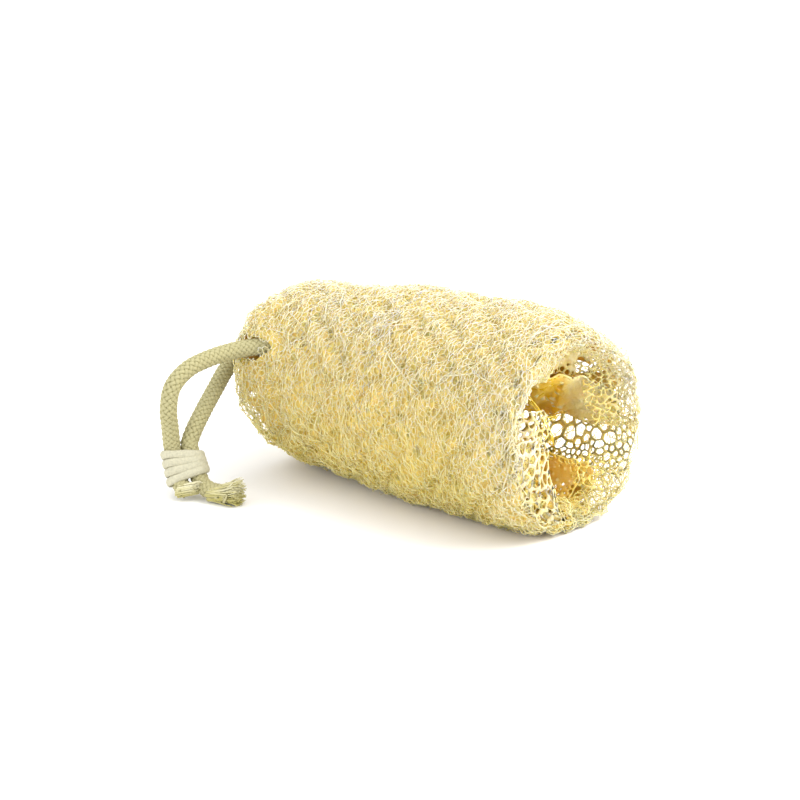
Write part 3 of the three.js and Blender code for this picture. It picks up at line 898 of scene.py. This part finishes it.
septum = {
    "lines": [[(46, -6.4, 10.6), (48, -2.6, 5.3), (49.7, -0.6, 0.3), (50.7, 1, -4.7), (50.5, 1, -6.4)],
              [(49.7, -0.6, 0.3), (48.2, 3.4, 0.8), (45.2, 10.4, -0.7), (40.2, 18.4, -3.7), (29.2, 31, -8.6)],
              [(50.7, 1, -4.7), (46.2, 7.4, -8.7), (40.2, 16.4, -13.7), (34.2, 24.4, -18.7),
               (31, 28, -20.2)]],
    # deep: the least painted golden shade on the strands
    "strands": 4, "radius": (0.12, 0.24), "spread": 0.55, "deep": 0.8,
}


def septumPiece():  # bundles of fused strands between the hollows
    random = np.random.default_rng(70)
    steps = 26
    middles = [evenLine(smoothLine(line, 10), steps) for line in septum["lines"]]
    lines = np.repeat(middles, septum["strands"], axis=0) + (0, 0, skin["axisHeight"])
    t = np.linspace(0, 1, steps)[None, :, None]
    sway = random.uniform(-1, 1, (len(lines), 1, 3))
    sway = sway + 0.8 * np.sin(6 * t + random.uniform(0, 6, (len(lines), 1, 3)))
    lines += septum["spread"] * sway + random.normal(0, 0.05, lines.shape)
    size = random.uniform(*septum["radius"], (len(lines), 1)) * random.uniform(0.8, 1.2, lines.shape[:2])
    outs = np.broadcast_to(np.array([0.9, -0.3, 0.2]), lines.shape)
    piece = tubePiece("septum_strands", lines, outs, size, 0.8 * size, 8)
    markDepth(piece, septum["deep"])
    return piece


looseFibres = {"count": 620, "steps": 12, "radius": (0.12, 0.22), "long": (6, 24), "turn": 38, "seed": 71}
strayFibres = {"count": 420, "steps": 7, "radius": (0.07, 0.13), "reach": (1.2, 4.0), "seed": 72,
               "mouthShare": 0.45}
fibreLie = {"radius": 36, "cordClear": 3.5}


def clearOfCord(lines):
    near = nearCord(lines.reshape(-1, 3), fibreLie["cordClear"]).reshape(lines.shape[:2])
    return lines[~near.any(1)]


def fibrePiece(name, lines, radius, sides):
    outs = lines * [0, 1, 1] - [0, 0, skin["axisHeight"]]
    piece = tubePiece(name, lines, outs, radius, radius, sides)
    markDepth(piece)
    return piece


def looseFibrePiece():
    random = np.random.default_rng(looseFibres["seed"])
    n, k = looseFibres["count"], looseFibres["steps"]
    t = np.linspace(0, 1, k)[None]
    long = random.uniform(*looseFibres["long"], (n, 1))
    way = np.radians(random.normal(0, looseFibres["turn"], (n, 1)))
    wave = random.uniform(-1, 1, (n, 3))
    sway = 1.1 * wave[:, :1] * np.sin(t * long * 0.3 + 9 * wave[:, 1:2])
    angle = random.uniform(0, 2 * math.pi, (n, 1))
    angle = angle + (long * t * np.cos(way) - sway * np.sin(way)) / fibreLie["radius"]
    along = random.uniform(0.04, 0.95, (n, 1)) * outlineLength + long * t * np.sin(way) + sway * np.cos(way)
    share = np.clip(along / outlineLength, 0, 1)
    depth = random.uniform(-0.2, 0.6, (n, 1)) + 0.45 * np.sin(long * t * 0.5 + 20 * wave[:, :1])
    relief = np.clip(reliefAt(skinPoint(share, angle, 0 * t)), *wall["reliefRange"])
    depth = depth + 1.6 * (2 * t - 1) ** 6 + 0.28 * relief  # both ends dip into the net
    lines = clearOfCord(skinPoint(share, angle, depth))
    radius = random.uniform(*looseFibres["radius"], (len(lines), 1)) * np.ones((1, k))
    return fibrePiece("loose_fibres", lines, radius, 4)


def strayFibrePiece():
    random = np.random.default_rng(strayFibres["seed"])
    n, k = strayFibres["count"], strayFibres["steps"]
    t = np.linspace(0, 1, k)[None]
    atMouth = random.uniform(0, 1, (n, 1)) < strayFibres["mouthShare"]
    nearMouth = random.uniform(0.9, 1, (n, 1))
    share = np.where(atMouth, nearMouth, random.uniform(0, 1, (n, 1)))
    angle = random.uniform(-0.35 * math.pi, 1.35 * math.pi, (n, 1))
    lean = random.normal(0, 1, (n, 2))
    reach = random.uniform(*strayFibres["reach"], (n, 1))
    share = np.clip(share + lean[:, :1] * reach * t / outlineLength, 0, 1)
    angle = angle + lean[:, 1:] * reach * (t + 0.5 * t * t) / fibreLie["radius"]
    lines = clearOfCord(skinPoint(share, angle, 0.6 - reach * 0.55 * np.sin(t * 2.4)))
    radius = random.uniform(*strayFibres["radius"], (len(lines), 1)) * (1 - 0.6 * t)
    return fibrePiece("stray_fibres", lines, radius, 3)


spongePieces += [septumPiece(), looseFibrePiece(), strayFibrePiece()]
print("fibres laid")


# Cord: braided from two sets of strands
cord = {
    "diameter": 6.0, "strands": 8, "pitch": 17.0, "middle": 2.35, "weave": 0.3,
    "halfWide": 0.8, "halfThick": 0.46, "core": 2.0, "open": 11.0, "splay": 1.5, "floor": 0.7,
    "thinner": 0.45, "twist": 0.4, "spread": (0.2, 1.3), "drawBack": 3.5, "coreSteps": 130, "coreSides": 10,
    # crest: painted shade round each strand, its outer face lit and its sides and inner face in shade
    "crest": (0.3, 1.0, 1.0, 0.3, 0.0, 0.0),  # round a strand, one on top of it
}
frays = [
    {"end": 0, "count": 190, "way": (0.76, 0.44, 0.22), "back": (1.5, 1.8), "reach": (4.2, 4.7),
     "splay": 0.2, "lift": 0.0, "radius": (0.24, 0.36), "tone": (0.75, 1.0)},
    {"end": -1, "count": 330, "way": (0.93, 0.34, 0.06), "back": (4.0, 10.0), "reach": (0.2, 2.4),
     "splay": 2.4, "lift": 2.0, "radius": (0.18, 0.34), "tone": (0.3, 1.0)},
]
# dark and darkTo: the painted shade on the underside of the frayed ends and the heights it fades over
fray = {"steps": 7, "sides": 4, "bundle": 2.6, "floor": 0.25, "dark": 0.3, "darkTo": (1.5, 6.5)}


def carriedFrame(line):  # a frame that is carried along a line without twisting
    run = np.gradient(line, axis=0)
    run /= np.linalg.norm(run, axis=1)[:, None]
    normal = np.zeros_like(line)
    last = np.cross(run[0], (0, 0, 1))
    for i, t in enumerate(run):
        last = last - t * np.dot(last, t)
        last /= np.linalg.norm(last)
        normal[i] = last
    return run, normal, np.cross(run, normal)


def cordPiece():
    random = np.random.default_rng(81)
    run, normal, side = carriedFrame(cordLine)
    at = np.linspace(0, cordLength, len(cordLine))
    phase = 2 * math.pi * at / cord["pitch"]
    # The long tail comes undone
    opening = np.clip((at - cordLength + cord["open"]) / cord["open"], 0, 1) ** 2
    lines = []
    outs = []
    for way in (1, -1):
        for k in range(cord["strands"]):
            angle = way * phase + 2 * math.pi * k / cord["strands"]
            angle = angle + opening * random.normal(0, cord["twist"])
            out = normal * np.cos(angle)[:, None] + side * np.sin(angle)[:, None]
            radius = cord["middle"] + way * cord["weave"] * np.cos(cord["strands"] * phase)
            radius = radius + opening * cord["splay"] * random.uniform(*cord["spread"])
            back = run * (opening * random.uniform(0, cord["drawBack"]))[:, None]
            lines.append(cordLine + out * radius[:, None] - back)
            outs.append(out)
    lines = np.array(lines)
    lines[..., 2] = np.maximum(lines[..., 2], cord["floor"])
    size = np.ones(lines.shape[:2]) - cord["thinner"] * opening[None]
    corners, faces = tubeMesh(lines, np.array(outs), cord["halfWide"] * size, cord["halfThick"] * size, 6)
    crest = np.tile(cord["crest"], lines.shape[0] * lines.shape[1])
    core = evenLine(cordLine, cord["coreSteps"])[None]
    coreOut = carriedFrame(core[0])[1][None]
    coreSize = cord["core"] * np.ones(core.shape[:2])
    coreCorners, coreFaces = tubeMesh(core, coreOut, coreSize, coreSize, cord["coreSides"])
    faces = faces + [[c + len(corners) for c in f] for f in coreFaces]
    piece = meshPiece("braided_cord", np.vstack([corners, coreCorners]) * mm, faces)
    # The core takes the groove tone: painted shade between the strands
    mark(piece, "crest", np.concatenate([crest, np.zeros(len(coreCorners))]))
    shadeSmooth(piece)
    return piece


def frayPiece():  # loose yarn ends at both tails
    random = np.random.default_rng(82)
    _, normal, side = carriedFrame(cordLine)
    t = np.linspace(0, 1, fray["steps"])[None, :, None]
    lines = []
    radii = []
    tones = []
    for values in frays:
        n = values["count"]
        outward = np.array(values["way"]) / np.linalg.norm(values["way"])
        angle = random.uniform(0, 2 * math.pi, (n, 1, 1))
        out = normal[values["end"]] * np.cos(angle) + side[values["end"]] * np.sin(angle)
        back = random.uniform(*values["back"], (n, 1, 1))
        origin = cordLine[values["end"]] - outward * back
        long = back + random.uniform(*values["reach"], (n, 1, 1))
        start = fray["bundle"] * np.sqrt(random.uniform(0, 1, (n, 1, 1)))
        curl = random.normal(0, 0.25 * values["splay"], (n, 1, 3))
        spread = start + values["splay"] * random.uniform(0, 1, (n, 1, 1)) * t ** 1.6
        line = origin + outward * long * t + out * spread + curl * np.sin(t * 3) * t
        line[..., 2] += (values["lift"] * random.uniform(0, 1, (n, 1, 1)) * t)[..., 0]
        lines.append(line)
        radii.append(random.uniform(*values["radius"], (n, 1)) * np.linspace(1, 0.6, fray["steps"])[None])
        # Painted shade: each yarn's random tone darkens towards the floor, on the underside of the ends
        upper = fray["dark"] + (1 - fray["dark"]) * smoothStep(*fray["darkTo"], line[..., 2])
        tones.append(np.repeat((random.uniform(*values["tone"], (n, 1)) * upper).ravel(), fray["sides"]))
    lines = np.concatenate(lines)
    lines[..., 2] = np.maximum(lines[..., 2], fray["floor"])
    radii = np.concatenate(radii)
    outs = np.broadcast_to(np.array([0.3, -0.4, 0.86]), lines.shape)
    piece = tubePiece("frayed_ends", lines, outs, radii, radii, fray["sides"])
    mark(piece, "crest", np.concatenate(tones))
    return piece


def trackPoint(turns):  # round both strands like a track with two straights
    reach = cord["diameter"] / 2 + binding["gap"] + binding["thick"]
    bend = math.pi * reach
    run = (turns % 1) * 2 * (binding["spacing"] + bend)
    back = run >= binding["spacing"] + bend
    onward = run - binding["spacing"] - bend if back else run
    straight = onward < binding["spacing"]
    angle = math.pi / 2 if straight else math.pi / 2 + (onward - binding["spacing"]) / reach
    centre = half - onward if straight else -half
    flip = -1 if back else 1
    out = np.array([flip * math.cos(angle), flip * math.sin(angle)])
    return np.array([flip * centre, 0]) + out * reach, out


def bindingPiece():
    random = np.random.default_rng(83)
    line = []
    outs = []
    first, last = binding["turns"]  # both ends lie at the back
    for turns in np.linspace(first, last, binding["steps"]):
        place, out = trackPoint(turns)
        tilt = np.interp(turns, (first, last), binding["tilt"])
        down = binding["start"] + binding["pitch"] * (turns - first) + tilt * place[0]
        narrow = binding["squeeze"] * np.clip(1 - down / binding["squeezeDown"], 0, 1)
        narrow *= np.clip(0.5 + place[0] / binding["squeezeWide"], 0, 1)
        line.append(np.array(inBinding(down, place[0] - narrow, place[1] - narrow)))
        outs.append(bindingSide * out[0] + bindingAcross * out[1])
    line = np.array([line])
    steps, sides = binding["steps"], binding["sides"]
    size = 1 + wander(random, np.linspace(0, 30, steps), np.zeros(steps), 4, binding["wobble"])[None]
    corners, faces = tubeMesh(line, np.array([outs]), binding["wide"] * size, binding["thick"] * size, sides)
    middle = np.repeat(line[0], sides, axis=0)
    turn = binding["threads"] * 2 * math.pi * np.arange(sides) / sides  # fine threads side by side
    ply = 1 + binding["threadDepth"] * np.cos(turn)
    corners = middle + (corners - middle) * np.tile(ply, steps)[:, None]
    piece = meshPiece("twine_binding", corners * mm, faces)
    shadeSmooth(piece)
    return piece


cordPieceDone = cordPiece()
frayPieceDone = frayPiece()
bindingPieceDone = bindingPiece()
print("cord braided:", round(cordLength, 1), "mm")


# Camera at the photograph's viewing angle
cameraView = {
    "azimuth": 40.8, "elevation": 16.6, "distance": 0.75, "lens": 100.0,
    "target": (0.002, 0.0, 0.033), "targetPixel": (434.5, 399.0), "pixels": 800, "sensor": 36,
}


def placeCamera():
    a = math.radians(cameraView["azimuth"])
    e = math.radians(cameraView["elevation"])
    back = Vector((math.sin(a) * math.cos(e), -math.cos(a) * math.cos(e), math.sin(e)))
    right = Vector((math.cos(a), math.sin(a), 0))
    up = back.cross(right)
    target = Vector(cameraView["target"])
    metrePerPixel = cameraView["distance"] * cameraView["sensor"] / cameraView["lens"] / cameraView["pixels"]
    offX = (cameraView["targetPixel"][0] - cameraView["pixels"] / 2) * metrePerPixel
    offY = (cameraView["targetPixel"][1] - cameraView["pixels"] / 2) * metrePerPixel
    aim = target - right * offX + up * offY
    place = target + back * cameraView["distance"]
    bpy.ops.object.camera_add(location=place, rotation=(aim - place).to_track_quat("-Z", "Y").to_euler())
    camera = bpy.context.object
    camera.data.lens = cameraView["lens"]
    camera.data.sensor_width = cameraView["sensor"]
    bpy.context.scene.camera = camera


clearSelection()
placeCamera()
print("camera placed")


# Materials

def newMaterial(name):
    material = bpy.data.materials.new(name)
    material.use_nodes = True
    nodes = material.node_tree.nodes
    return material, nodes, material.node_tree.links, nodes["Principled BSDF"]


def feed(links, socket, value):  # a socket is linked, a number or a colour is set
    if isinstance(value, bpy.types.NodeSocket):
        links.new(value, socket)
    else:
        socket.default_value = (*value, 1) if isinstance(value, (tuple, list)) else value


def mixNode(nodes, links, factor, a, b, blend="MIX"):
    mix = nodes.new("ShaderNodeMix")
    mix.data_type = "RGBA"
    mix.blend_type = blend
    for name, value in (("Factor", factor), ("A", a), ("B", b)):
        feed(links, mix.inputs[name], value)
    return mix.outputs["Result"]


def rangeNode(nodes, links, value, low, high, first=0.0, last=1.0):
    spread = nodes.new("ShaderNodeMapRange")
    for name, number in (("From Min", low), ("From Max", high), ("To Min", first), ("To Max", last)):
        spread.inputs[name].default_value = number
    links.new(value, spread.inputs["Value"])
    return spread.outputs["Result"]


def mathNode(nodes, links, operation, a, b):
    node = nodes.new("ShaderNodeMath")
    node.operation = operation
    links.new(a, node.inputs[0])
    links.new(b, node.inputs[1])
    return node.outputs["Value"]


def noiseNode(nodes, links, place, scale, detail):
    noise = nodes.new("ShaderNodeTexNoise")
    noise.inputs["Scale"].default_value = scale
    noise.inputs["Detail"].default_value = detail
    links.new(place, noise.inputs["Vector"])
    return noise.outputs["Fac"]


def markNode(nodes, name):
    node = nodes.new("ShaderNodeAttribute")
    node.attribute_name = name
    return node.outputs["Fac"]


def roughen(nodes, links, shader, height, strength, distance):
    bump = nodes.new("ShaderNodeBump")
    bump.inputs["Strength"].default_value = strength
    bump.inputs["Distance"].default_value = distance
    links.new(height, bump.inputs["Height"])
    links.new(bump.outputs["Normal"], shader.inputs["Normal"])


fibre = {
    # skin, mid and deep follow the depth mark: the golden deep tone is painted golden shade in the hollows
    "skin": (0.63, 0.555, 0.295), "mid": (0.70, 0.575, 0.19), "deep": (0.96, 0.56, 0.03), "midAt": 0.3,
    # low and high: painted shade on the lower sides and a painted highlight on the top, by height; the rim
    # keys pale the mouth the same way, and the pit keys hold the highlight back in the pits
    "deepAt": 0.95, "low": (0.97, 0.91, 0.70), "high": (1.01, 1.02, 1.40), "lowAt": 0.012, "highAt": 0.064,
    "pitFrom": 0.06, "pitTo": 0.25, "pitShadingShare": 0.75, "rimFrom": 0.042, "rimTo": 0.056, "rimRise": 0.025,
    # dot: the tone of the painted glints on the dots and of the other pale marks
    "dot": (0.95, 0.84, 0.50), "grain": 1100, "grainDepth": 0.0004, "grainStrength": 0.45,
    # patches and flecks of tone: scale, from, to, colour, strength
    "tints": [(110, 0.5, 0.62, (0.72, 0.57, 0.20), 0.35), (520, 0.5, 0.7, (0.84, 0.77, 0.51), 0.5),
              (190, 0.66, 0.74, (0.50, 0.34, 0.09), 0.45)],
    "surface": {"Roughness": 0.45, "Specular IOR Level": 0.2, "Subsurface Weight": 0.9,
                "Subsurface Radius": (1.0, 0.75, 0.35), "Subsurface Scale": 0.0015},
}


def tintGroup():
    group = bpy.data.node_groups.new("fibreTint", "ShaderNodeTree")
    group.interface.new_socket("Base", in_out="INPUT", socket_type="NodeSocketColor")
    group.interface.new_socket("Tinted", in_out="OUTPUT", socket_type="NodeSocketColor")
    nodes, links = group.nodes, group.links
    place = nodes.new("ShaderNodeTexCoord").outputs["Object"]
    tone = nodes.new("NodeGroupInput").outputs["Base"]
    for scale, low, high, colour, strength in fibre["tints"]:
        patches = rangeNode(nodes, links, noiseNode(nodes, links, place, scale, 2), low, high, 0, strength)
        tone = mixNode(nodes, links, patches, tone, colour)
    links.new(tone, nodes.new("NodeGroupOutput").inputs["Tinted"])
    return group


def fibreMaterial():
    material, nodes, links, shader = newMaterial("loofah_fibre")
    place = nodes.new("ShaderNodeTexCoord").outputs["Object"]
    deep = markNode(nodes, "deep")
    ramp = nodes.new("ShaderNodeValToRGB")
    tones = ramp.color_ramp.elements
    tones[0].color = (*fibre["skin"], 1)
    tones[1].color = (*fibre["deep"], 1)
    tones[1].position = fibre["deepAt"]
    tones.new(fibre["midAt"]).color = (*fibre["mid"], 1)
    links.new(deep, ramp.inputs["Fac"])
    tint = nodes.new("ShaderNodeGroup")
    tint.node_tree = tintGroup()
    links.new(ramp.outputs["Color"], tint.inputs["Base"])
    # Flecks fade out in the deep golden parts
    tone = mixNode(nodes, links, deep, tint.outputs["Tinted"], ramp.outputs["Color"])
    # Painted light and shade by height: a paler top as if lit from above and darker, yellower lower sides
    # as if in shade; the mouth is as pale as the top, and the pits keep their golden tone
    parts = nodes.new("ShaderNodeSeparateXYZ")
    links.new(place, parts.inputs["Vector"])
    rim = rangeNode(nodes, links, parts.outputs["X"], fibre["rimFrom"], fibre["rimTo"], 0, fibre["rimRise"])
    height = mathNode(nodes, links, "ADD", parts.outputs["Z"], rim)
    height = rangeNode(nodes, links, height, fibre["lowAt"], fibre["highAt"])
    pits = rangeNode(nodes, links, deep, fibre["pitFrom"], fibre["pitTo"], 1, fibre["pitShadingShare"])
    fade = mathNode(nodes, links, "MULTIPLY", height, pits)
    paintedShading = mixNode(nodes, links, fade, fibre["low"], fibre["high"])
    tone = mixNode(nodes, links, 1, tone, paintedShading, "MULTIPLY")
    # The pale mark mixes in the dot tone: painted glints on the dots and painted light on the thin wall and
    # the arch; on the ribs it is a slightly paler fibre
    tone = mixNode(nodes, links, markNode(nodes, "pale"), tone, fibre["dot"])
    links.new(tone, shader.inputs["Base Color"])
    grain = noiseNode(nodes, links, place, fibre["grain"], 3)
    roughen(nodes, links, shader, grain, fibre["grainStrength"], fibre["grainDepth"])
    for name, value in fibre["surface"].items():
        shader.inputs[name].default_value = value
    return material


fibreLook = fibreMaterial()
for piece in spongePieces:
    piece.data.materials.append(fibreLook)
    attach(piece, "root")
    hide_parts("sponge")

# groove: the painted shade tone of the strands' sides, the gaps between them and the underside of the frayed
# ends
cotton = {
    "cord": {"tone": (0.425, 0.39, 0.205), "groove": (0.165, 0.148, 0.035), "darker": 0.86, "scale": 1800,
             "strength": 0.4},
    "yarn": {"tone": (0.73, 0.695, 0.485), "groove": (0.43, 0.38, 0.085), "darker": 0.86, "scale": 1800,
             "strength": 0.4},
    "twine": {"tone": (0.50, 0.475, 0.345), "groove": None, "darker": 0.8, "scale": 1400, "strength": 0.35},
    "flecks": (0.3, 0.62), "depth": 0.0003, "roughness": 0.85,
}


def cottonMaterial(name, values):  # fine darker threads, and a groove tone between the strands
    material, nodes, links, shader = newMaterial(name)
    place = nodes.new("ShaderNodeTexCoord").outputs["Object"]
    fleck = noiseNode(nodes, links, place, values["scale"], 4)
    darker = [values["darker"] * c for c in values["tone"]]
    tone = mixNode(nodes, links, rangeNode(nodes, links, fleck, *cotton["flecks"]), darker, values["tone"])
    # Painted shade: the crest mark mixes the groove tone into the strands' sides, the core and the underside
    # of the frayed ends; on the frayed ends it also carries a random tone per yarn
    if values["groove"]:
        tone = mixNode(nodes, links, markNode(nodes, "crest"), values["groove"], tone)
    links.new(tone, shader.inputs["Base Color"])
    roughen(nodes, links, shader, fleck, values["strength"], cotton["depth"])
    shader.inputs["Roughness"].default_value = cotton["roughness"]
    return material


cordPieces = [
    (cordPieceDone, "cord", cottonMaterial("cotton_cord", cotton["cord"])),
    (frayPieceDone, "cord", cottonMaterial("cotton_yarn", cotton["yarn"])),
    (bindingPieceDone, "binding", cottonMaterial("cotton_twine", cotton["twine"])),
]
for piece, node, look in cordPieces:
    piece.data.materials.append(look)
    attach(piece, "root")
    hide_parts(node)


# Stage: plain white floor and soft light
stage = {
    "floor": 4.0, "white": 0.95, "roughness": 0.9, "sky": 1.36, "aim": (0, 0, 0.03),
    "lights": [(8.6, 0.7, (0.5, 0.35, 0.7)), (3.7, 0.9, (-0.35, -0.95, 0.3))],  # watts, size, place
}


def buildStage():
    clearSelection()
    bpy.ops.mesh.primitive_plane_add(size=stage["floor"])
    floor = bpy.context.object
    floor.name = "floor"
    material, _, _, shader = newMaterial("white_floor")
    shader.inputs["Base Color"].default_value = (stage["white"],) * 3 + (1,)
    shader.inputs["Roughness"].default_value = stage["roughness"]
    floor.data.materials.append(material)
    for watts, size, place in stage["lights"]:
        aim = (Vector(stage["aim"]) - Vector(place)).to_track_quat("-Z", "Y")
        bpy.ops.object.light_add(type="AREA", location=place, rotation=aim.to_euler())
        light = bpy.context.object.data
        light.energy = watts
        light.size = size
    world = bpy.data.worlds.new("white_room")
    world.use_nodes = True
    sky = world.node_tree.nodes["Background"]
    sky.inputs["Color"].default_value = (1, 1, 1, 1)
    sky.inputs["Strength"].default_value = stage["sky"]
    bpy.context.scene.world = world
    bpy.context.scene.view_settings.view_transform = "Standard"


buildStage()
print("stage built")
